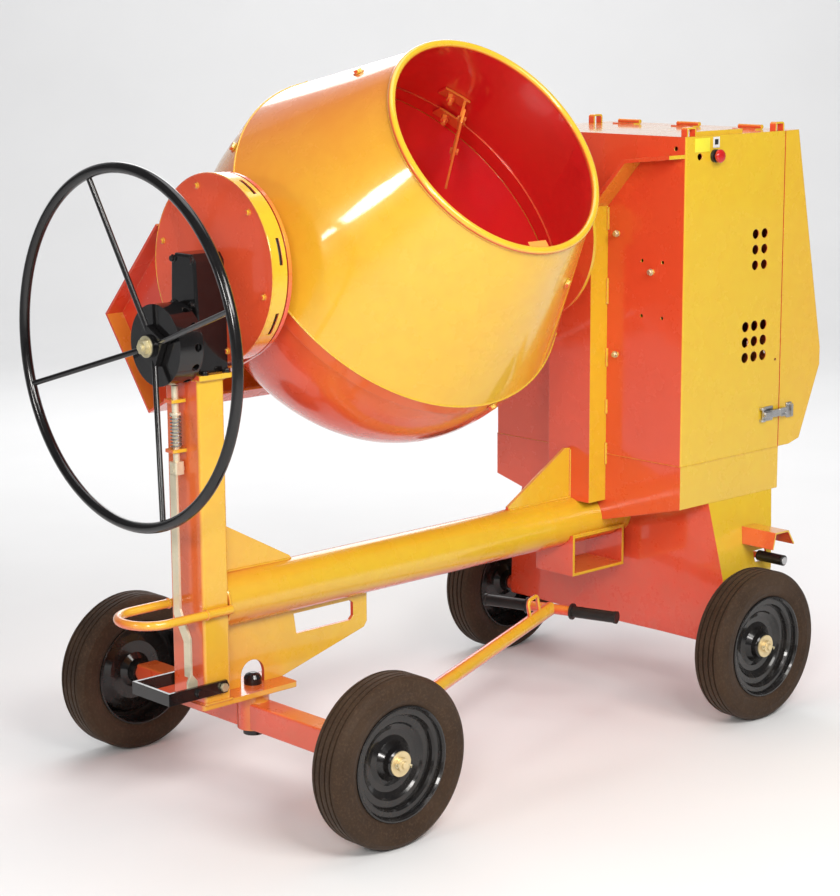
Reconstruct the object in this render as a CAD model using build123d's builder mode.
from build123d import *
import os
from math import atan2, cos, degrees, hypot, radians, sin, sqrt

# Towable mixer: a four-wheel chassis carries a tipping drum between a front column with the
# handwheel and a rear post with the engine house.
# Millimetres. Z is up from the ground. X runs from the handwheel end (front) to the engine
# house (rear), Y across. The drum mouth points to -Y and up. "right" in part names is -Y.
# Stations along the machine are given behind the kingpin; at_x turns them into frame X.

os.makedirs("parts", exist_ok=True)

# ---------------------------------------------------------------- driving dimensions
KINGPIN_X = -693.0                      # kingpin in the frame
WHEELBASE = 1341.0
TYRE_RADIUS, RIM_RADIUS = 203.0, 136.0
TRACK_FRONT, TRACK_REAR = 988.0, 950.0
AXLE_RADIUS = 12.7
AXLE_INSET = 58.0                       # end of the axle beam, inside the wheel centre
BEAM_Z, BEAM_RADIUS = 502.0, 65.0
COLUMN_FRONT, COLUMN_BACK, COLUMN_HALF_WIDTH = -192.0, -115.0, 62.7
COLUMN_FOOT, COLUMN_TOP = 275.0, 1050.0

TILT_Z = 1295.5                         # height of the tipping axis
TILT = radians(36.5)                    # drum axis above horizontal at rest
DRUM_X = 466.0                          # drum axis
TRUNNION_RADIUS = 30.0
RUNNING_FIT = 0.05                      # radial clearance of the bearing bores
INPUT_HOLE = 20.5                       # hole of the hollow rear trunnion
GEAR_MODULE, RING_TEETH, PINION_TEETH = 5.0, 80, 15
PINION_Z = TILT_Z - GEAR_MODULE * (RING_TEETH - PINION_TEETH) / 2
PINION_SHAFT_RADIUS = 17.0
HANDWHEEL_X, HANDWHEEL_RADIUS = -346.0, 408.0    # rim centre line
CUP_RADIUS = 95.0                       # index cup behind the handwheel
PLUNGER_X = -211.0                      # index plunger

GUARD_RADIUS = 220.0                    # gear guard and round end of the yoke plates
YOKE_BACK, YOKE_HALF_WIDTH = -440.0, 142.0       # along and across the drum axis
YOKE_PLATE = 10.0
YOKE_FRONT_IN = -36.0                   # inner face of the front plate
YOKE_FRONT_OUT = YOKE_FRONT_IN - YOKE_PLATE
YOKE_REAR_IN = 2 * DRUM_X - YOKE_FRONT_IN
YOKE_REAR_OUT = YOKE_REAR_IN + YOKE_PLATE

HOUSE_FRONT, HOUSE_BACK, HOUSE_HALF_WIDTH = 1181.0, 1594.0, 342.0
HOUSE_FLOOR, HOUSE_TOP, TRAY_TOP = 573.0, 1555.0, 689.0
HOUSE_MID, HOUSE_LENGTH = (HOUSE_FRONT + HOUSE_BACK) / 2, HOUSE_BACK - HOUSE_FRONT
RIGHT_WALL = -HOUSE_HALF_WIDTH          # outer face of the -Y house wall
POST_FRONT, POST_HALF_WIDTH = 1115.0, 76.0
PEDESTAL_X = 1300.0
CRANK_Z, BELT_X = 860.0, 1246.0

ON_BASE = (Align.CENTER, Align.CENTER, Align.MIN)


# ---------------------------------------------------------------- places and planes
def at_x(station):
    """Frame X of a station measured behind the kingpin."""
    return station + KINGPIN_X


def cross_plane(x, y=0, z=0):
    """Plane across the machine: local x = +Y, local y = +Z, extrudes to the rear."""
    return Plane(origin=(at_x(x), y, z), x_dir=(0, 1, 0), z_dir=(1, 0, 0))


def side_plane(y, x=0, z=0):
    """Upright lengthwise plane: local x = +X, local y = +Z, extrudes to -Y."""
    return Plane(origin=(at_x(x), y, z), x_dir=(1, 0, 0), z_dir=(0, -1, 0))


def level_plane(z, x=0):
    """Horizontal plane with its origin at station x."""
    return Plane(origin=(at_x(x), 0, z), x_dir=(1, 0, 0), z_dir=(0, 0, 1))


def long_axis(z):
    """Lengthwise axis on the centre line."""
    return Axis((0, 0, z), (1, 0, 0))


TILT_COS, TILT_SIN = cos(TILT), sin(TILT)
DRUM_DIR = Vector(0, -TILT_COS, TILT_SIN)        # along the drum axis, towards the mouth
DRUM_UP = Vector(0, TILT_SIN, TILT_COS)          # upper side of the drum, square to its axis
REARWARD = Vector(1, 0, 0)
DRUM_CENTRE = Vector(at_x(DRUM_X), 0, TILT_Z)
DRUM_AXIS = Axis(DRUM_CENTRE, DRUM_DIR)
# local x is the radius, local y the station along the drum axis
DRUM_PROFILE = Plane(origin=DRUM_CENTRE, x_dir=REARWARD, z_dir=(0, -TILT_SIN, -TILT_COS))


def arm_plane(x, along=0):
    """Plane across the machine: local x along the drum axis, extrudes to the front."""
    origin = Vector(at_x(x), 0, TILT_Z) + DRUM_DIR * along
    return Plane(origin=origin, x_dir=DRUM_DIR, z_dir=(-1, 0, 0))


def drum_radial(angle):
    """Unit vector out from the drum axis."""
    return REARWARD * cos(angle) + DRUM_UP * sin(angle)


def hub_plane(x, y):
    """Wheel profile plane: local x outwards along the axle, local y the radius."""
    side = 1 if y > 0 else -1
    return Plane(origin=(at_x(x), y, TYRE_RADIUS), x_dir=(0, side, 0), z_dir=(side, 0, 0))


def hub_axis(x, y):
    return Axis((at_x(x), y, TYRE_RADIUS), (0, 1, 0))


# ---------------------------------------------------------------- shapes added to the open part
def disc(plane, radius, depth, hole=0, mode=Mode.ADD):
    """Round bar on the plane, or a tube when a hole radius is given."""
    with BuildSketch(plane) as outline:
        Circle(radius)
        if hole:
            Circle(hole, mode=Mode.SUBTRACT)
    extrude(outline.sketch, amount=depth, mode=mode)


def hexagon(plane, radius, depth):
    with BuildSketch(plane) as outline:
        RegularPolygon(radius, 6)
    extrude(outline.sketch, amount=depth)


def plate(plane, width, height, depth, corner=0, mode=Mode.ADD):
    """Rectangle centred on the plane, with rounded corners when a radius is given."""
    with BuildSketch(plane) as outline:
        if corner:
            RectangleRounded(width, height, corner)
        else:
            Rectangle(width, height)
    extrude(outline.sketch, amount=depth, mode=mode)


def prism(plane, points, depth, mode=Mode.ADD):
    with BuildSketch(plane) as outline:
        Polygon(*points, align=None)
    extrude(outline.sketch, amount=depth, mode=mode)


def turned(plane, axis, points):
    """Closed outline turned about an axis."""
    with BuildSketch(plane) as outline:
        Polygon(*points, align=None)
    revolve(outline.sketch, axis=axis)


def block(x, y, z, length, width, height):
    """Box standing on height z."""
    with Locations((at_x(x), y, z)):
        Box(length, width, height, align=ON_BASE)


def cross_bore(x, z, radius, length):
    """Lengthwise hole on the centre line, from station x to the rear."""
    with Locations(Plane(origin=(at_x(x), 0, z), z_dir=(1, 0, 0))):
        Cylinder(radius, length, align=ON_BASE, mode=Mode.SUBTRACT)


def save(builder, name):
    part = builder.part
    part.label = name
    export_step(part, f"parts/{name}.step")


# ---------------------------------------------------------------- chassis
with BuildPart() as main_beam:
    disc(cross_plane(COLUMN_BACK, z=BEAM_Z), BEAM_RADIUS, PEDESTAL_X - COLUMN_BACK,
         hole=BEAM_RADIUS - 6)
save(main_beam, "main_beam")

COLUMN_DEPTH, COLUMN_WIDTH = COLUMN_BACK - COLUMN_FRONT, 2 * COLUMN_HALF_WIDTH
with BuildPart() as front_column:
    with BuildSketch(level_plane(COLUMN_FOOT, x=(COLUMN_FRONT + COLUMN_BACK) / 2)):
        RectangleRounded(COLUMN_DEPTH, COLUMN_WIDTH, 8)
        RectangleRounded(COLUMN_DEPTH - 10, COLUMN_WIDTH - 10, 4, mode=Mode.SUBTRACT)
    extrude(amount=COLUMN_TOP - COLUMN_FOOT)
    plate(level_plane(COLUMN_TOP, x=-146.5), 95, 150, 12, corner=6)
    for z in (883, 1000):               # guide tabs for the index plunger
        with BuildSketch(level_plane(z - 4)):
            with Locations((-211.5, 0)):
                RectangleRounded(41, 34, 4)
            with Locations((PLUNGER_X, 0)):
                Circle(8.6, mode=Mode.SUBTRACT)
        extrude(amount=8)
save(front_column, "front_column")

# side outlines (station, z); the beam is cut out of them afterwards
GUSSET_FRONT_TOP = [(COLUMN_BACK, 702), (COLUMN_BACK, 560), (130, 560), (118, 576)]
GUSSET_REAR_TOP = [(876, 560), (876, 575), (1097, 706), (POST_FRONT, 704), (POST_FRONT, 560)]
GUSSET_FRONT_LOW = [(COLUMN_BACK, 440), (368, 440), (368, 362), (358, 348), (87, 275),
                    (COLUMN_BACK, 275)]
GUSSET_WINDOW = [(128, 426), (312, 426), (322, 418), (322, 384), (312, 374), (136, 374)]
GUSSET = 10
with BuildPart() as gussets:
    with BuildSketch(side_plane(GUSSET / 2)):
        Polygon(*GUSSET_FRONT_TOP, align=None)
        Polygon(*GUSSET_REAR_TOP, align=None)
    extrude(amount=GUSSET)
    with BuildSketch(side_plane(GUSSET / 2)):
        Polygon(*GUSSET_FRONT_LOW, align=None)
        Polygon(*GUSSET_WINDOW, align=None, mode=Mode.SUBTRACT)
        with Locations((-4, 300)):      # arched opening over the kingpin head
            Circle(36, mode=Mode.SUBTRACT)
        with Locations((-4, 285)):
            Rectangle(72, 34, mode=Mode.SUBTRACT)
    extrude(amount=GUSSET)
    cross_bore(COLUMN_BACK - 10, BEAM_Z, BEAM_RADIUS, 1500)
save(gussets, "gussets")

KINGPIN_RADIUS = 20
with BuildPart() as turntable_plate:
    with BuildSketch(level_plane(262)):
        with Locations((-55, 0)):
            RectangleRounded(290, 128, 10)
        Circle(KINGPIN_RADIUS, mode=Mode.SUBTRACT)
    extrude(amount=13)
save(turntable_plate, "turntable_plate")

with BuildPart() as kingpin:
    # (radius, z)
    turned(side_plane(0), Axis((at_x(0), 0, 0), (0, 0, 1)), [
        (0, 150), (26, 150), (26, 164), (KINGPIN_RADIUS, 164), (KINGPIN_RADIUS, 275),
        (22, 275), (22, 290), (17, 299), (8, 303), (0, 304)])
save(kingpin, "kingpin")

HOOP_Z, HOOP_Y = 498, 74
HOOP_END, HOOP_BEND = at_x(-118), at_x(-300)
with BuildPart() as guard_hoop:
    with BuildLine(Plane.XY.offset(HOOP_Z)):
        Line((HOOP_END, -HOOP_Y), (HOOP_BEND, -HOOP_Y))
        RadiusArc((HOOP_BEND, -HOOP_Y), (HOOP_BEND, HOOP_Y), HOOP_Y)
        Line((HOOP_BEND, HOOP_Y), (HOOP_END, HOOP_Y))
    with BuildSketch(Plane(origin=(HOOP_END, -HOOP_Y, HOOP_Z), z_dir=(-1, 0, 0))):
        Circle(11)
    sweep()
save(guard_hoop, "guard_hoop")

with BuildPart() as gear_casing:
    with BuildSketch(cross_plane(-180)):
        with BuildLine():
            Polyline((-50, 1062), (50, 1062), (50, 1200), (44, 1320), (30, 1337),
                     (-30, 1337), (-44, 1320), (-50, 1200), (-50, 1062))
        make_face()
    extrude(amount=86)
    fillet(gear_casing.edges().filter_by(GeomType.LINE).group_by(Axis.X)[0], 7)
    cross_bore(-173, TILT_Z, TRUNNION_RADIUS + RUNNING_FIT, 100)
    cross_bore(-185, PINION_Z, PINION_SHAFT_RADIUS + RUNNING_FIT, 100)
save(gear_casing, "gear_casing")

with BuildPart() as gear_guard:         # round can, open to the rear
    disc(cross_plane(-94, z=TILT_Z), GUARD_RADIUS, 44)
    disc(cross_plane(-91, z=TILT_Z), GUARD_RADIUS - 3, 60, mode=Mode.SUBTRACT)
    cross_bore(-110, TILT_Z, 32, 20)
    cross_bore(-110, PINION_Z, 19, 20)
    for degree in (62, 14, -32, 170, 215):       # oblong slots in the rim
        slot_cos, slot_sin = cos(radians(degree)), sin(radians(degree))
        with Locations(Plane(
                origin=(at_x(-66), -GUARD_RADIUS * slot_cos, TILT_Z + GUARD_RADIUS * slot_sin),
                x_dir=(0, -slot_sin, -slot_cos), z_dir=(0, -slot_cos, slot_sin))):
            Box(62, 9, 20, mode=Mode.SUBTRACT)
save(gear_guard, "gear_guard")

POST_DEPTH = HOUSE_FRONT - POST_FRONT
POST_MID = (POST_FRONT + HOUSE_FRONT) / 2
with BuildPart() as rear_post:          # channel open to the rear
    with BuildSketch(level_plane(560)):
        with Locations((POST_MID, 0)):
            Rectangle(POST_DEPTH, 2 * POST_HALF_WIDTH)
        with Locations((POST_MID + 8, 0)):
            Rectangle(POST_DEPTH, 2 * POST_HALF_WIDTH - 14, mode=Mode.SUBTRACT)
    extrude(amount=830)
    cross_bore(POST_FRONT - 5, TILT_Z, 34, 30)
    cross_bore(POST_FRONT - 5, BEAM_Z, BEAM_RADIUS, 90)
    for k in (1, -1):                   # brackets spreading from the post head
        prism(cross_plane(POST_FRONT + 4), [
            (k * 76, 1364), (k * 76, 1384), (k * 184, 1494),
            (k * 340, 1510), (k * 340, 1500), (k * 188, 1484)], POST_DEPTH - 4)
save(rear_post, "rear_post")

BEARING_X, COLLAR_X = 1068, 1060
with BuildPart() as rear_bearing:
    with BuildSketch(cross_plane(BEARING_X, z=TILT_Z)):
        RectangleRounded(126, 104, 18)
        Circle(TRUNNION_RADIUS + RUNNING_FIT, mode=Mode.SUBTRACT)
    extrude(amount=POST_FRONT - BEARING_X)
    disc(cross_plane(COLLAR_X, z=TILT_Z), 46, BEARING_X - COLLAR_X,
         hole=TRUNNION_RADIUS + RUNNING_FIT)
    for y in (-48, 48):
        for z in (-36, 36):
            hexagon(cross_plane(COLLAR_X, y, TILT_Z + z), 10, BEARING_X - COLLAR_X)
save(rear_bearing, "rear_bearing")

with BuildPart() as fork_pocket:
    with BuildSketch(side_plane(69, x=1164, z=419)):
        Rectangle(206, 113)
        Rectangle(190, 97, mode=Mode.SUBTRACT)
    extrude(amount=138)
    cross_bore(1000, BEAM_Z, BEAM_RADIUS, 400)
save(fork_pocket, "fork_pocket")

with BuildPart() as pedestal:           # cross plate with a flange down each side
    prism(cross_plane(PEDESTAL_X), [
        (-HOUSE_HALF_WIDTH, HOUSE_FLOOR), (HOUSE_HALF_WIDTH, HOUSE_FLOOR), (397, 371),
        (403, 190), (0, 182), (-403, 190), (-397, 371)], 6)
    for k in (1, -1):
        prism(cross_plane(PEDESTAL_X + 6), [
            (k * HOUSE_HALF_WIDTH, HOUSE_FLOOR), (k * (HOUSE_HALF_WIDTH - 6), HOUSE_FLOOR),
            (k * 391, 371), (k * 397, 192), (k * 403, 192), (k * 397, 371)], 266)
    # sloping rear edge, axle opening and notch for the lever
    prism(side_plane(500), [(1572, 580), (1446, 180), (1700, 180), (1700, 580)], 1000,
          mode=Mode.SUBTRACT)
    with Locations((at_x(WHEELBASE), 0, TYRE_RADIUS)):
        Box(50, 1000, 50, mode=Mode.SUBTRACT)
    with Locations((at_x(1471.5), -385, 409)):
        Box(54, 40, 30, mode=Mode.SUBTRACT)
save(pedestal, "pedestal")

# ---------------------------------------------------------------- axles
# wheel stub (outwards from the wheel centre, radius): shoulder, journal, washer, nut
STUB = [(-62, 0), (-62, 22), (-37, 22), (-37, AXLE_RADIUS), (36.5, AXLE_RADIUS), (36.5, 30),
        (40, 30), (40, 16), (50, 16), (50, 9), (56, 8), (56, 0)]


def axle(x, z, depth, height, track):
    """Axle beam of rectangular section with a stub at each end."""
    plate(side_plane(track / 2 - AXLE_INSET, x=x, z=z), depth, height,
          track - 2 * AXLE_INSET, corner=5)
    for y in (track / 2, -track / 2):
        turned(hub_plane(x, y), hub_axis(x, y), STUB)


with BuildPart() as rear_axle:
    axle(WHEELBASE, TYRE_RADIUS, 50, 50, TRACK_REAR)
save(rear_axle, "rear_axle")

# tow bar: hinged at the front axle, lying back under the beam and swung towards +Y
TOW_SWING, TOW_RISE = radians(17.66), radians(4.3)
TOW_PIVOT = Vector(at_x(66), -340, 206)
TOW_LEVEL = Vector(cos(TOW_SWING), sin(TOW_SWING), 0)      # bar direction seen from above
TOW_CROSS = Vector(-sin(TOW_SWING), cos(TOW_SWING), 0)     # along the hinge pin
TOW_DIR = Vector(cos(TOW_SWING) * cos(TOW_RISE), sin(TOW_SWING) * cos(TOW_RISE),
                 sin(TOW_RISE))
TOW_LENGTH = 984
TOW_END = TOW_PIVOT + TOW_DIR * TOW_LENGTH
TOW_RADIUS = 19
TOW_PIN_RADIUS = 8
HANDLE_RADIUS, HANDLE_HALF = 11, 192

with BuildPart() as front_axle:
    axle(0, 201, 62, 66, TRACK_FRONT)
    with Locations((at_x(0), 0, 166)):
        Cylinder(40, 95, align=ON_BASE)
        Cylinder(KINGPIN_RADIUS + 0.06, 200, mode=Mode.SUBTRACT)
    for offset in (-27, 19):            # two ears and a pin for the tow bar
        prism(Plane(origin=TOW_PIVOT + TOW_CROSS * offset, x_dir=TOW_LEVEL, z_dir=TOW_CROSS),
              [(-44, -20), (8, -20), (18, -8), (18, 8), (8, 20), (-44, 20)], 8)
    disc(Plane(origin=TOW_PIVOT - TOW_CROSS * 27, z_dir=TOW_CROSS), TOW_PIN_RADIUS, 54)
save(front_axle, "front_axle")


def tow_cross_bar(centre, radius, half_length, mode=Mode.ADD):
    """Round bar square to the tow bar, centred on a point of it."""
    disc(Plane(origin=centre - TOW_CROSS * half_length, z_dir=TOW_CROSS), radius,
         2 * half_length, mode=mode)


with BuildPart() as tow_bar:
    disc(Plane(origin=TOW_PIVOT + TOW_DIR * 14, z_dir=TOW_DIR), TOW_RADIUS, TOW_LENGTH - 14)
    tow_cross_bar(TOW_PIVOT, TOW_RADIUS, 17)
    tow_cross_bar(TOW_PIVOT, TOW_PIN_RADIUS + 0.08, 30, mode=Mode.SUBTRACT)
    tow_cross_bar(TOW_END, 14, 62)
    tow_cross_bar(TOW_END, HANDLE_RADIUS, HANDLE_HALF)
    # rod loop near the handle
    with BuildLine(Plane(origin=TOW_PIVOT + TOW_DIR * 880, x_dir=TOW_DIR,
                         z_dir=TOW_CROSS)) as path:
        FilletPolyline((-18, -12), (-30, -62), (26, -62), (38, -12), radius=14)
    with BuildSketch(Plane(origin=path.line @ 0, z_dir=path.line % 0)):
        Circle(5.5)
    sweep()
save(tow_bar, "tow_bar")

# (start from the bar centre, radius, length, hole): collar, sleeve, end cap
GRIP = [(64, 22, 6, HANDLE_RADIUS), (70, 15.5, 122, HANDLE_RADIUS), (HANDLE_HALF, 17, 7, 0)]
with BuildPart() as tow_grips:
    for k in (1, -1):
        for start, radius, length, hole in GRIP:
            disc(Plane(origin=TOW_END + TOW_CROSS * (k * start), x_dir=TOW_DIR,
                       z_dir=TOW_CROSS * k), radius, length, hole=hole)
save(tow_grips, "tow_grips")

# ---------------------------------------------------------------- wheels
# profiles: (outwards from the wheel centre, radius)
TREAD = [(-34, 201.5)]
for groove in (-25, -9, 9, 25):
    TREAD += [(groove - 2.6, TYRE_RADIUS), (groove - 1.8, TYRE_RADIUS - 5),
              (groove + 1.8, TYRE_RADIUS - 5), (groove + 2.6, TYRE_RADIUS)]
TYRE = [(-40, RIM_RADIUS), (-46.5, 150), (-49, 168), (-47, 188), (-41, 197), *TREAD,
        (34, 201.5), (41, 197), (47, 188), (49, 168), (46.5, 150), (40, RIM_RADIUS)]
HUB_BORE = AXLE_RADIUS + 0.06
WHEEL = [
    (44, RIM_RADIUS), (45, 132), (40, 128), (32, 126), (31, 114), (25, 110), (16, 107),
    (15, 92), (10, 87), (4, 74), (3, 60), (8, 48), (20, 38), (32, 33), (36, 29),
    (36, HUB_BORE), (-36, HUB_BORE), (-36, 28), (-14, 31), (-4, 46), (-3, 76), (4, 93),
    (9, 110), (18, 116), (25, 120), (25, 130), (-40, 130), (-45, 132), (-44, RIM_RADIUS)]


def wheel(name, x, y):
    with BuildPart() as tyre:
        turned(hub_plane(x, y), hub_axis(x, y), TYRE)
    save(tyre, name + "_tyre")
    with BuildPart() as wheel_disc:
        turned(hub_plane(x, y), hub_axis(x, y), WHEEL)
    save(wheel_disc, name + "_wheel")


wheel("front_right", 0, -TRACK_FRONT / 2)
wheel("front_left", 0, TRACK_FRONT / 2)
wheel("rear_right", WHEELBASE, -TRACK_REAR / 2)
wheel("rear_left", WHEELBASE, TRACK_REAR / 2)

# ---------------------------------------------------------------- tilting yoke
# in arm planes: (along the drum axis, across it)
TANGENT_X, TANGENT_Y = -40.1, 216.3     # where the straight edge leaves the round end
EDGE_LENGTH = hypot(YOKE_BACK - TANGENT_X, YOKE_HALF_WIDTH - TANGENT_Y)
FLANGE_SETBACK = 84                     # the side flange starts this far down the edge
FLANGE_X = TANGENT_X + (YOKE_BACK - TANGENT_X) / EDGE_LENGTH * FLANGE_SETBACK
FLANGE_Y = TANGENT_Y + (YOKE_HALF_WIDTH - TANGENT_Y) / EDGE_LENGTH * FLANGE_SETBACK
FLANGE_THICK, FLANGE_WIDTH = 6.2, 46


def yoke_plate(inner_face, outward):
    """Plate with outward flanges; outward is -1 for the front plate, +1 for the rear."""
    outer_face = inner_face + outward * YOKE_PLATE
    flange_plane = arm_plane(max(outer_face, outer_face + outward * FLANGE_WIDTH))
    with BuildPart() as yoke:
        with BuildSketch(arm_plane(max(inner_face, outer_face))):
            Circle(GUARD_RADIUS)
            Polygon((TANGENT_X, TANGENT_Y), (YOKE_BACK, YOKE_HALF_WIDTH),
                    (YOKE_BACK, -YOKE_HALF_WIDTH), (TANGENT_X, -TANGENT_Y), align=None)
        extrude(amount=YOKE_PLATE)
        for k in (1, -1):
            prism(flange_plane, [
                (FLANGE_X, k * FLANGE_Y), (YOKE_BACK, k * YOKE_HALF_WIDTH),
                (YOKE_BACK, k * (YOKE_HALF_WIDTH - FLANGE_THICK)),
                (FLANGE_X + 1, k * (FLANGE_Y - FLANGE_THICK))], FLANGE_WIDTH)
        prism(flange_plane, [
            (YOKE_BACK, YOKE_HALF_WIDTH), (YOKE_BACK, -YOKE_HALF_WIDTH),
            (YOKE_BACK + 6, -YOKE_HALF_WIDTH), (YOKE_BACK + 6, YOKE_HALF_WIDTH)], FLANGE_WIDTH)
    return yoke


save(yoke_plate(YOKE_FRONT_IN, -1), "yoke_front_plate")

with BuildPart() as yoke_rear_plate:
    add(yoke_plate(YOKE_REAR_IN, 1).part)
    cross_bore(YOKE_REAR_IN - 10, TILT_Z, 21, 30)
save(yoke_rear_plate, "yoke_rear_plate")

YOKE_WEB = YOKE_BACK + 10               # inner face of the yoke back
with BuildPart() as yoke_back:          # channel joining the two plates
    with BuildSketch(arm_plane(YOKE_REAR_IN)):
        Polygon((YOKE_BACK, YOKE_HALF_WIDTH), (YOKE_BACK, -YOKE_HALF_WIDTH),
                (YOKE_WEB, -YOKE_HALF_WIDTH), (YOKE_WEB, YOKE_HALF_WIDTH), align=None)
        for k in (1, -1):
            Polygon((YOKE_BACK, k * YOKE_HALF_WIDTH), (YOKE_BACK + 46, k * YOKE_HALF_WIDTH),
                    (YOKE_BACK + 46, k * (YOKE_HALF_WIDTH - 7)),
                    (YOKE_BACK, k * (YOKE_HALF_WIDTH - 7)), align=None)
    extrude(amount=YOKE_REAR_IN - YOKE_FRONT_IN)
save(yoke_back, "yoke_back")

with BuildPart() as trunnions:
    disc(cross_plane(-172, z=TILT_Z), TRUNNION_RADIUS, YOKE_FRONT_OUT + 172)
    disc(cross_plane(YOKE_REAR_OUT, z=TILT_Z), TRUNNION_RADIUS, 1150 - YOKE_REAR_OUT,
         hole=INPUT_HOLE)
    disc(cross_plane(YOKE_REAR_OUT, z=TILT_Z), 62, 10, hole=INPUT_HOLE)
save(trunnions, "trunnions")

RING_X = -82
with BuildPart() as ring_gear:          # internal teeth, fixed to the front plate
    disc(cross_plane(RING_X, z=TILT_Z), 212, YOKE_FRONT_OUT - RING_X,
         hole=GEAR_MODULE * RING_TEETH / 2 + 6)
    with BuildSketch(cross_plane(RING_X, z=TILT_Z)):
        with PolarLocations(0, RING_TEETH, start_angle=-90 + 180 / RING_TEETH):
            Polygon((207.5, 5.3), (196.5, 1.87), (196.5, -1.87), (207.5, -5.3), align=None)
    extrude(amount=YOKE_FRONT_OUT - RING_X)
save(ring_gear, "ring_gear")

# ---------------------------------------------------------------- drum drive
COUNTER_ALONG = -389.0                  # countershaft, along the drum axis
COUNTER_RADIUS = 12
DRUM_SHAFT_RADIUS = 20
BOX_TOP = -352                          # side of the drive box nearest the drum
BOX_DEPTH = BOX_TOP - YOKE_WEB
BOX_MID = (YOKE_WEB + BOX_TOP) / 2
with BuildPart() as drive_box:
    plate(arm_plane(DRUM_X + 58, BOX_MID), BOX_DEPTH, 100, 116, corner=8)
    plate(arm_plane(DRUM_X + 50, BOX_MID), BOX_DEPTH - 16, 84, 100, mode=Mode.SUBTRACT)
    disc(Plane(origin=DRUM_CENTRE + DRUM_DIR * -380, z_dir=DRUM_DIR),
         DRUM_SHAFT_RADIUS + 0.06, 60, mode=Mode.SUBTRACT)
    disc(arm_plane(DRUM_X + 70, COUNTER_ALONG), COUNTER_RADIUS + 0.06, 60, mode=Mode.SUBTRACT)
save(drive_box, "drive_box")

with BuildPart() as drive_chain:
    with BuildSketch(arm_plane(964.5, COUNTER_ALONG / 2)):
        SlotCenterToCenter(-COUNTER_ALONG, 74)
        SlotCenterToCenter(-COUNTER_ALONG, 62, mode=Mode.SUBTRACT)
    extrude(amount=11)
save(drive_chain, "drive_chain")

SPROCKET_X, SPROCKET_TEETH, SPROCKET_RADIUS = 961.5, 17, 30


def sprocket(along):
    """Chain sprocket at a place along the drum axis."""
    root, tip = SPROCKET_RADIUS - 6, SPROCKET_RADIUS - 0.4
    with BuildSketch(arm_plane(SPROCKET_X, along)) as outline:
        Circle(SPROCKET_RADIUS - 4)
        with PolarLocations(0, SPROCKET_TEETH):
            Polygon((root, 4), (tip, 1.5), (tip, -1.5), (root, -4), align=None)
    extrude(outline.sketch, amount=5)


with BuildPart() as countershaft:
    disc(arm_plane(966, COUNTER_ALONG), COUNTER_RADIUS, 966 - DRUM_X - 26)
    sprocket(COUNTER_ALONG)
    disc(arm_plane(DRUM_X + 42, COUNTER_ALONG), 15, 14)
save(countershaft, "countershaft")

# pulley profiles: (along X from the belt centre, radius)
BIG_PULLEY = [(-14, 16), (-14, 60), (-11, 60), (-11, 118), (-8, 118), (-5, 106), (5, 106),
              (8, 118), (11, 118), (11, 60), (14, 60), (14, 16)]
SMALL_PULLEY = [(-16, 0), (-16, 34), (-8, 34), (-5, 24), (5, 24), (8, 34), (16, 34),
                (16, 14), (94, 14), (94, 0)]
with BuildPart() as input_shaft:
    disc(cross_plane(953, z=TILT_Z), 16, 1268 - 953)
    sprocket(0)
    turned(side_plane(0, x=BELT_X, z=TILT_Z), long_axis(TILT_Z), BIG_PULLEY)
save(input_shaft, "input_shaft")

with BuildPart() as crank_pulley:
    turned(side_plane(0, x=BELT_X, z=CRANK_Z), long_axis(CRANK_Z), SMALL_PULLEY)
save(crank_pulley, "crank_pulley")


def belt_face(grow):
    """Area inside the belt line, grown outwards, added to the open sketch."""
    big, small = 107 + grow, 25.5 + grow
    slope = (big - small) / (TILT_Z - CRANK_Z)
    flat = sqrt(1 - slope * slope)
    with Locations((0, TILT_Z)):
        Circle(big)
    with Locations((0, CRANK_Z)):
        Circle(small)
    Polygon((big * flat, TILT_Z + big * slope), (small * flat, CRANK_Z + small * slope),
            (-small * flat, CRANK_Z + small * slope), (-big * flat, TILT_Z + big * slope),
            align=None)


with BuildPart() as v_belt:
    with BuildSketch(cross_plane(BELT_X - 4.5)):
        belt_face(8)
    extrude(amount=9)
    with BuildSketch(cross_plane(BELT_X - 6)):
        belt_face(0)
    extrude(amount=12, mode=Mode.SUBTRACT)
save(v_belt, "v_belt")

# ---------------------------------------------------------------- drum
# profiles: (radius, station along the drum axis)
WALL = 4.0
BOWL_FLOOR = -345
BOWL_OUTER = [(252, BOWL_FLOOR), (318, -322), (384, -276), (432, -212), (458, -140),
              (468, -70), (470, 0), (470, 42)]
CONE = [(470.2, 14), (474.2, 14), (474.2, 48), (468, 62), (293, 450), (289, 450),
        (443.5, 104), (440.3, 102.6), (461, 56), (465.5, 44), (470.2, 44)]


def offset_inward(points, thickness):
    """Each point moved square to the chord between its neighbours."""
    moved = []
    for i, (radius, station) in enumerate(points):
        before = points[max(i - 1, 0)]
        after = points[min(i + 1, len(points) - 1)]
        dx, dy = after[0] - before[0], after[1] - before[1]
        chord = hypot(dx, dy)
        moved.append((radius - dy / chord * thickness, station + dx / chord * thickness))
    return moved


BOWL_INNER = offset_inward(BOWL_OUTER, WALL)
with BuildPart() as drum_bowl:
    with BuildSketch(DRUM_PROFILE):
        with BuildLine():
            outer_curve = Spline(*BOWL_OUTER)
            Line(outer_curve @ 1, BOWL_INNER[-1])
            inner_curve = Spline(*reversed(BOWL_INNER))
            Polyline(inner_curve @ 1, (BOWL_INNER[0][0] - 4, BOWL_FLOOR + WALL),
                     (48, BOWL_FLOOR + WALL), (48, BOWL_FLOOR), BOWL_OUTER[0])
        make_face()
    revolve(axis=DRUM_AXIS)
save(drum_bowl, "drum_bowl")

with BuildPart() as drum_cone:
    turned(DRUM_PROFILE, DRUM_AXIS, CONE)
save(drum_cone, "drum_cone")

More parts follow.
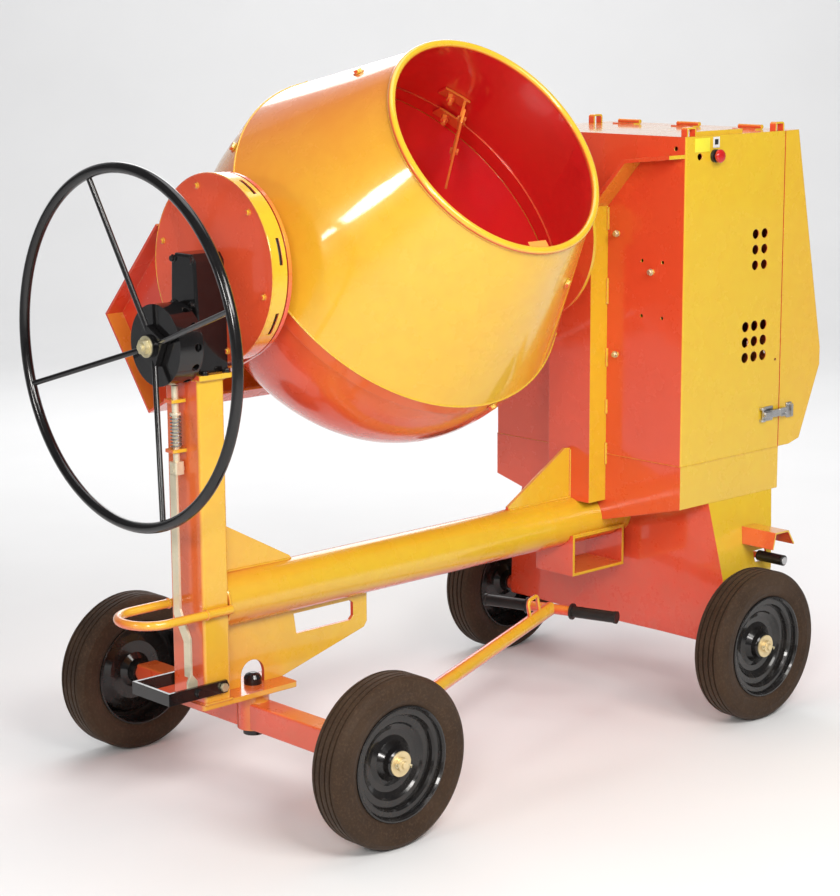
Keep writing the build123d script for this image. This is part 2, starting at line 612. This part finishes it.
with BuildPart() as mouth_lip:
    with BuildSketch(DRUM_PROFILE):
        with Locations((290, 458)):
            Circle(9)
    revolve(axis=DRUM_AXIS)
    split(bisect_by=Plane(origin=DRUM_CENTRE + DRUM_DIR * 450, z_dir=DRUM_DIR), keep=Keep.TOP)
save(mouth_lip, "mouth_lip")

BLADE_ANGLES = (radians(47.8), radians(227.8))
BLADE_PITCH = radians(24.4)
BLADE_STATION = 223
# outlines: (radius, distance along the blade away from the mouth)
BLADE = [(275, -60), (350, 30), (400, 100), (395, 150), (340, 175), (205, 150), (225, -60)]
# (outline, foot angle from the blade in degrees, foot station, extra step in from the wall)
LEGS = [
    ([(325, 50), (325, 10), (388, 10), (405, 50)], -1.6, 196, 0.0),
    ([(325, 160), (325, 120), (428, 120), (434, 160)], -7.6, 96, 4.6),
]
FOOT_ARC = 11                           # degrees round the drum
with BuildPart() as mixing_blades:
    for blade_angle in BLADE_ANGLES:
        radial = drum_radial(blade_angle)
        tangent = REARWARD * -sin(blade_angle) + DRUM_UP * cos(blade_angle)
        along = DRUM_DIR * cos(BLADE_PITCH) + tangent * sin(BLADE_PITCH)
        normal = along.cross(radial)
        base = DRUM_CENTRE + DRUM_DIR * BLADE_STATION
        prism(Plane(origin=base - normal * 3, x_dir=radial, z_dir=normal), BLADE, 6)
        for leg, foot_turn, station, step in LEGS:
            prism(Plane(origin=base + normal * 3, x_dir=radial, z_dir=normal), leg, 7)

            # foot that follows the sloping wall
            wall = 463.0 - (station - 58) * 0.4464 - step
            foot_angle = blade_angle + radians(foot_turn)
            with BuildSketch(DRUM_PROFILE) as foot_outline:
                Polygon((wall + 8.9, station - 20), (wall - 8.9, station + 20),
                        (wall - 16.5, station + 20), (wall + 1.3, station - 20), align=None)
            foot = revolve(foot_outline.sketch, axis=DRUM_AXIS, revolution_arc=FOOT_ARC,
                           mode=Mode.PRIVATE)
            to_foot = foot.center() - DRUM_CENTRE
            angle_now = atan2(to_foot.dot(DRUM_UP), to_foot.X)
            add(foot.rotate(DRUM_AXIS, degrees(foot_angle - angle_now) + FOOT_ARC / 2))

            # nut and bolt through the foot, then one hexagonal bolt through leg and blade
            bolt_dir = drum_radial(foot_angle + radians(7.0))
            bolt_plane = Plane(
                origin=DRUM_CENTRE + DRUM_DIR * station + bolt_dir * (wall - 7),
                z_dir=bolt_dir * -1)
            hexagon(bolt_plane, 11, 16)
            disc(bolt_plane, 6, 30)
            leg_middle = (leg[0][1] + leg[1][1]) / 2
            hexagon(Plane(origin=base - normal * 7 + radial * (leg[0][0] + 14)
                          - along * leg_middle, z_dir=normal), 9, 22)
    # short paddle inside the mouth, on its lower side
    plate(Plane(origin=DRUM_CENTRE + DRUM_DIR * 424 + REARWARD * 10 - DRUM_UP * 270,
                x_dir=REARWARD, z_dir=DRUM_DIR), 60, 44, 6)
save(mixing_blades, "mixing_blades")

with BuildPart() as drum_shaft:         # shaft with the flange in the bowl floor, then a ring
    turned(DRUM_PROFILE, DRUM_AXIS, [
        (0, -420), (DRUM_SHAFT_RADIUS, -420), (DRUM_SHAFT_RADIUS, -345.5), (46, -345.5),
        (46, -340.8), (110, -340.8), (110, -329), (60, -329), (52, -318), (0, -318)])
    turned(DRUM_PROFILE, DRUM_AXIS, [
        (DRUM_SHAFT_RADIUS, -364), (25, -364), (25, -370), (DRUM_SHAFT_RADIUS, -370)])
save(drum_shaft, "drum_shaft")

# (station, angle round the drum, radius, lean towards the mouth)
BOLT_ANGLES = (radians(118), radians(298))
BOLT_SPOTS = [(320, angle, 352.2, radians(24.2)) for angle in BOLT_ANGLES]
BOLT_SPOTS += [(30, angle + radians(turn), 474.4, 0)
               for angle in BOLT_ANGLES for turn in (-22, 22, 68)]
with BuildPart() as drum_bolts:
    for station, angle, radius, lean in BOLT_SPOTS:
        outward = drum_radial(angle)
        wall_plane = Plane(origin=DRUM_CENTRE + DRUM_DIR * station + outward * radius,
                           x_dir=DRUM_DIR, z_dir=outward * cos(lean) + DRUM_DIR * sin(lean))
        hexagon(wall_plane, 11, 9)
        disc(wall_plane, 14, 2.5)
save(drum_bolts, "drum_bolts")

# ---------------------------------------------------------------- handwheel train
HUB_TURN = radians(62.9)
with BuildPart() as handwheel:
    with BuildSketch(side_plane(0, x=HANDWHEEL_X, z=PINION_Z)):
        with Locations((0, HANDWHEEL_RADIUS)):
            Circle(12.7)
    revolve(axis=long_axis(PINION_Z))
    for k in range(4):                  # spokes, sloping forward from the hub to the rim
        angle = radians(17.9 + 90 * k)
        outward = Vector(0, -cos(angle), sin(angle))
        start = Vector(at_x(-271), 0, PINION_Z) + outward * 22
        end = Vector(at_x(HANDWHEEL_X), 0, PINION_Z) + outward * (HANDWHEEL_RADIUS - 2)
        disc(Plane(origin=start, z_dir=(end - start).normalized()), 6.8, (end - start).length)
    with BuildSketch(Plane(origin=(at_x(-280), 0, PINION_Z),
                           x_dir=(0, -cos(HUB_TURN), sin(HUB_TURN)), z_dir=(1, 0, 0))):
        RectangleRounded(76, 76, 10)
        Circle(PINION_SHAFT_RADIUS, mode=Mode.SUBTRACT)
    extrude(amount=16)
    disc(cross_plane(-288, z=PINION_Z), 27, 8, hole=PINION_SHAFT_RADIUS)
save(handwheel, "handwheel")

with BuildPart() as index_cup:          # cup with twelve holes in its rim
    disc(cross_plane(-262, z=PINION_Z), CUP_RADIUS, 66)
    disc(cross_plane(-253, z=PINION_Z), CUP_RADIUS - 9, 60, hole=30, mode=Mode.SUBTRACT)
    for k in range(12):
        angle = radians(-90 + 30 * k)
        disc(Plane(origin=(at_x(PLUNGER_X), 80 * cos(angle), PINION_Z + 80 * sin(angle)),
                   z_dir=(0, cos(angle), sin(angle))), 9.5, 20, mode=Mode.SUBTRACT)
    cross_bore(-270, PINION_Z, PINION_SHAFT_RADIUS, 100)
save(index_cup, "index_cup")

with BuildPart() as pinion_shaft:
    disc(cross_plane(-288, z=PINION_Z), PINION_SHAFT_RADIUS, 288 - 54)
    with BuildSketch(cross_plane(-80, z=PINION_Z)):
        Circle(GEAR_MODULE * PINION_TEETH / 2 - 6)
        with PolarLocations(0, PINION_TEETH, start_angle=-90):
            Polygon((30, 5.3), (41, 1.87), (41, -1.87), (30, -5.3), align=None)
    extrude(amount=26)
    # washer, nut and shaft end in front of the handwheel
    disc(cross_plane(-291, z=PINION_Z), 25, 3)
    hexagon(cross_plane(-302, z=PINION_Z), 18, 11)
    disc(cross_plane(-308, z=PINION_Z), 9, 6)
save(pinion_shaft, "pinion_shaft")

# ---------------------------------------------------------------- index lock and foot pedal
PLUNGER_TIP = PINION_Z - CUP_RADIUS - 3
PLUNGER_FOOT = 842
with BuildPart() as plunger_pin:
    disc(level_plane(PLUNGER_FOOT, x=PLUNGER_X), 8, PLUNGER_TIP - PLUNGER_FOOT)
    disc(level_plane(966, x=PLUNGER_X), 13, 5)
    plate(level_plane(826, x=PLUNGER_X), 26, 26, 30, corner=4)
    hexagon(Plane(origin=(at_x(-226), 0, 838), z_dir=(-1, 0, 0)), 8, -32)
save(plunger_pin, "plunger_pin")

PEDAL_Z, PEDAL_PIVOT_X, STRAP_X = 313.0, -146.0, -217.0
with BuildPart() as pull_strap:
    # upper strap: local x = -Y, local y = +Z
    prism(Plane(origin=(at_x(STRAP_X), 0, 0), x_dir=(0, -1, 0), z_dir=(-1, 0, 0)), [
        (-12, 825), (12, 825), (12, 505), (48, 440), (48, 345), (24, 345), (24, 430),
        (-12, 490)], 6)
    # lower tab with the slot for the pedal bolt
    with BuildSketch(side_plane(-42)):
        Polygon((-223, 352), (-217, 352), (-203, 335), (-203, 300), (-231, 300), (-231, 335),
                align=None)
        with Locations((STRAP_X, PEDAL_Z)):
            SlotOverall(22, 15, mode=Mode.SUBTRACT)
    extrude(amount=6)
save(pull_strap, "pull_strap")

with BuildPart() as lock_spring:
    with BuildLine() as path:
        Helix(pitch=8.6, height=74, radius=11.6, center=(at_x(PLUNGER_X), 0, 889))
    with BuildSketch(Plane(origin=path.line @ 0, z_dir=path.line % 0)):
        Circle(1.5)
    sweep(is_frenet=True)
save(lock_spring, "lock_spring")

with BuildPart() as foot_pedal:
    for y in (72, -64):                 # side arms
        with BuildSketch(side_plane(y)):
            Polygon((-305, PEDAL_Z - 14), (-134, PEDAL_Z - 15), (-128, PEDAL_Z),
                    (-134, PEDAL_Z + 15), (-305, PEDAL_Z + 16), align=None)
            with Locations((PEDAL_PIVOT_X, PEDAL_Z)):
                Circle(6.6, mode=Mode.SUBTRACT)
        extrude(amount=8)
    plate(level_plane(PEDAL_Z - 14, x=-301), 8, 144, 30)
    disc(side_plane(-38, x=STRAP_X, z=PEDAL_Z), 6, 34)
    hexagon(side_plane(-72, x=STRAP_X, z=PEDAL_Z), 10.5, 8)
save(foot_pedal, "foot_pedal")

with BuildPart() as pedal_bolts:
    for k in (1, -1):
        disc(side_plane(k * COLUMN_HALF_WIDTH, x=PEDAL_PIVOT_X, z=PEDAL_Z), 6.5, -k * 11)
        hexagon(side_plane(k * (COLUMN_HALF_WIDTH + 10.2), x=PEDAL_PIVOT_X, z=PEDAL_Z),
                10.5, -k * 8)
save(pedal_bolts, "pedal_bolts")

# ---------------------------------------------------------------- engine house
with BuildPart() as housing_tray:
    plate(level_plane(HOUSE_FLOOR, x=HOUSE_MID), HOUSE_LENGTH, 2 * HOUSE_HALF_WIDTH,
          TRAY_TOP - HOUSE_FLOOR)
    plate(level_plane(HOUSE_FLOOR + 5, x=HOUSE_MID), HOUSE_LENGTH - 8,
          2 * HOUSE_HALF_WIDTH - 8, 200, mode=Mode.SUBTRACT)
    with BuildSketch(cross_plane(HOUSE_FRONT)):  # apron down to the beam
        Polygon((-HOUSE_HALF_WIDTH, HOUSE_FLOOR), (HOUSE_HALF_WIDTH, HOUSE_FLOOR),
                (72, 504), (-72, 504), align=None)
        with Locations((0, BEAM_Z)):
            Circle(BEAM_RADIUS, mode=Mode.SUBTRACT)
    extrude(amount=4)
    for y in (-90, 90):                 # engine rails
        block(1410, y, HOUSE_FLOOR + 5, 300, 40, 80)
save(housing_tray, "housing_tray")

STOP_X, STOP_Z = 1296.0, 1502.0         # stop button
LATCH_Z = 788
LATCH_PIN_X, LATCH_PIN_Y = 1516, -349
with BuildPart() as housing_shell:
    plate(level_plane(TRAY_TOP, x=HOUSE_MID), HOUSE_LENGTH, 2 * HOUSE_HALF_WIDTH,
          HOUSE_TOP - TRAY_TOP, corner=4)
    plate(level_plane(TRAY_TOP - 5, x=HOUSE_MID + 10), HOUSE_LENGTH + 14,
          2 * HOUSE_HALF_WIDTH - 6, HOUSE_TOP - TRAY_TOP + 2, mode=Mode.SUBTRACT)
    cross_bore(HOUSE_FRONT - 20, TILT_Z, 36, 30)
    with BuildSketch(cross_plane(HOUSE_FRONT - 2)):      # small holes in the front wall
        with Locations((-234, 1153)):
            with GridLocations(71, 147, 2, 2):
                Circle(4.5)
        with Locations((-309, 1524)):
            Circle(6)
    extrude(amount=10, mode=Mode.SUBTRACT)
    for k in (1, -1):                   # grids of round holes in the side walls
        with BuildSketch(side_plane(k * HOUSE_HALF_WIDTH + 5)):
            with Locations((1478, 995)):
                with GridLocations(38, 42, 3, 3):
                    Circle(14)
            with Locations((1494, 1243)):
                with GridLocations(38, 42, 2, 3):
                    Circle(13)
            with Locations((1237, 1502)):
                Circle(9)
            with Locations((1572, 935)):
                Circle(4)
        extrude(amount=10, mode=Mode.SUBTRACT)
    disc(side_plane(RIGHT_WALL + 5, x=STOP_X, z=STOP_Z), 9, 10, mode=Mode.SUBTRACT)
    for y in (-HOUSE_HALF_WIDTH + 16, HOUSE_HALF_WIDTH - 16):      # strips on the roof
        block(1325, y, HOUSE_TOP, 190, 14, 12)
    for y, z in ((-112, 1292), (-112, 967), (112, 1292), (112, 967), (-234, 1199), (234, 1199)):
        hexagon(cross_plane(HOUSE_FRONT, y, z), 8, -7)
    for y in (-220, 0, 220):            # hood hinge barrels on the rear roof edge
        with BuildSketch(side_plane(y + 40)):
            with Locations((HOUSE_BACK + 0.5, HOUSE_TOP + 7)):
                Circle(6)
            with Locations((HOUSE_BACK - 14, HOUSE_TOP + 1.5)):
                Rectangle(28, 3)
        extrude(amount=80)
    # latch plate and the two ears of its hinge
    plate(side_plane(RIGHT_WALL, x=1545, z=LATCH_Z), 40, 40, 2.2, corner=4)
    for dz in (-16, 16):
        with BuildSketch(level_plane(LATCH_Z + dz - 3)):
            Polygon((1508, RIGHT_WALL), (1508, -350), (1511, -354.5), (1521, -354.5),
                    (1524, -350), (1524, RIGHT_WALL), align=None)
            with Locations((LATCH_PIN_X, LATCH_PIN_Y)):
                Circle(2.6, mode=Mode.SUBTRACT)
        extrude(amount=6)
save(housing_shell, "housing_shell")

with BuildPart() as lifting_lugs:
    for x in (1206, 1570):
        for y in (-330, 330):
            with BuildLine(side_plane(y, x=x, z=HOUSE_TOP)) as path:
                FilletPolyline((-16, 0), (-16, 22), (16, 22), (16, 0), radius=6)
            with BuildSketch(Plane(origin=path.line @ 0, x_dir=(0, 1, 0),
                                   z_dir=path.line % 0)):
                Rectangle(20, 5)
            sweep()
save(lifting_lugs, "lifting_lugs")

# side outlines (station, z)
HOOD_OUTER = [(HOUSE_BACK + 1, HOUSE_TOP), (1650, 1556), (1771, 948), (1771, 900),
              (1686, 702), (1640, 690), (HOUSE_BACK + 1, 690)]
HOOD_INNER = [(HOUSE_BACK - 5, HOUSE_TOP - 3), (1647, HOUSE_TOP - 2), (1768, 948),
              (1768, 901), (1684, 705), (1640, 693), (HOUSE_BACK - 5, 693)]
with BuildPart() as rear_hood:
    prism(side_plane(HOUSE_HALF_WIDTH), HOOD_OUTER, 2 * HOUSE_HALF_WIDTH)
    prism(side_plane(HOUSE_HALF_WIDTH - 3), HOOD_INNER, 2 * HOUSE_HALF_WIDTH - 6,
          mode=Mode.SUBTRACT)
    with BuildSketch(cross_plane(1771, z=924)):  # row of upright slots in the rear face
        with GridLocations(60, 1, 6, 1):
            SlotCenterToCenter(20, 10, rotation=90)
    extrude(amount=-8, mode=Mode.SUBTRACT)
    # latch keeper on the right side
    plate(side_plane(RIGHT_WALL, x=1634, z=LATCH_Z), 24, 42, 4, corner=4)
    plate(side_plane(RIGHT_WALL - 4, x=1636, z=LATCH_Z), 8, 36, 10, corner=3)
save(rear_hood, "rear_hood")

with BuildPart() as toggle_latch:
    plate(side_plane(RIGHT_WALL - 4.2, x=1566, z=LATCH_Z), 104, 20, 9, corner=6)
    plate(side_plane(RIGHT_WALL - 13.2, x=1532, z=LATCH_Z), 30, 14, 4, corner=4)
    with BuildSketch(side_plane(RIGHT_WALL - 13.2, x=1598, z=LATCH_Z)):    # raised loop
        RectangleRounded(34, 24, 5)
        RectangleRounded(24, 14, 3, mode=Mode.SUBTRACT)
    extrude(amount=3)
    with Locations((at_x(LATCH_PIN_X), LATCH_PIN_Y, LATCH_Z)):
        Cylinder(2.5, 40)
save(toggle_latch, "toggle_latch")

with BuildPart() as stop_base:
    disc(side_plane(RIGHT_WALL, x=STOP_X, z=STOP_Z), 17, 8, hole=8.1)
save(stop_base, "stop_base")

with BuildPart() as stop_button:
    # (out from the wall, radius)
    turned(Plane(origin=(at_x(STOP_X), RIGHT_WALL, STOP_Z), x_dir=(0, -1, 0),
                 z_dir=(-1, 0, 0)),
           Axis((at_x(STOP_X), 0, STOP_Z), (0, 1, 0)),
           [(0.5, 0), (0.5, 8), (14, 8), (14, 15), (17, 17.5), (22, 17.5), (26, 14),
            (28, 6), (28.4, 0)])
save(stop_button, "stop_button")

with BuildPart() as engine:
    block(1410, 0, 658, 220, 230, 190)
    disc(cross_plane(1300, z=CRANK_Z), 118, 60)
    disc(cross_plane(1360, z=CRANK_Z), 100, 150)
    for k in range(7):                  # cooling fins round the cylinder
        block(1430, 0, 966 + k * 16, 150, 150, 6)
    block(1430, 0, 930, 112, 112, 150)
    disc(cross_plane(1290, z=CRANK_Z), 14.06, 60, mode=Mode.SUBTRACT)
save(engine, "engine")

with BuildPart() as fuel_tank:
    block(1430, 0, 1200, 260, 420, 150)
    fillet(fuel_tank.edges().filter_by(Axis.Z), 40)
    fillet(fuel_tank.faces().filter_by(Axis.Z).edges(), 12)
    with Locations((at_x(1430), 110, 1349)):     # filler cap
        Cylinder(32, 24, align=ON_BASE)
    block(1430, 0, 1080, 60, 90, 120.5)
save(fuel_tank, "fuel_tank")

# ---------------------------------------------------------------- rear lever and its guard
LEVER_X, LEVER_PIVOT_Z, LEVER_TOP_Z = 1457, 330, 412
with BuildPart() as lever_guard:        # folded hood over the lever, and the pivot pin
    prism(side_plane(-350), [
        (1405, 450), (1417, 495), (1473, 494), (1499, 454), (1495, 452), (1470.5, 490),
        (1420, 491), (1409, 449)], 130)
    # trimmed to the slope of the pedestal flange
    prism(cross_plane(1380), [(-342.3, 573), (-397.3, 371), (-300, 371), (-300, 573)], 150,
          mode=Mode.SUBTRACT)
    for y, radius, length in ((-340, 7, 51.9), (-362.2, 12, 29.7), (-340, 12, 5.8)):
        disc(side_plane(y, x=LEVER_X, z=LEVER_PIVOT_Z), radius, length)
save(lever_guard, "lever_guard")

with BuildPart() as clutch_lever:
    with BuildSketch(side_plane(-346)):
        Polygon((1443, LEVER_PIVOT_Z), (1446, LEVER_TOP_Z), (1468, LEVER_TOP_Z),
                (1471, LEVER_PIVOT_Z), align=None)
        with Locations((LEVER_X, LEVER_PIVOT_Z)):
            Circle(14)
        with Locations((LEVER_X, LEVER_TOP_Z)):
            Circle(11)
        with Locations((LEVER_X, LEVER_PIVOT_Z)):
            Circle(7.1, mode=Mode.SUBTRACT)
    extrude(amount=16)
    # stem, grip and end cap of the handle
    for y, radius, length in ((-362, 9, 31), (-393, 14.5, 85), (-478, 10.5, 3)):
        disc(side_plane(y, x=LEVER_X, z=LEVER_TOP_Z), radius, length)
save(clutch_lever, "clutch_lever")
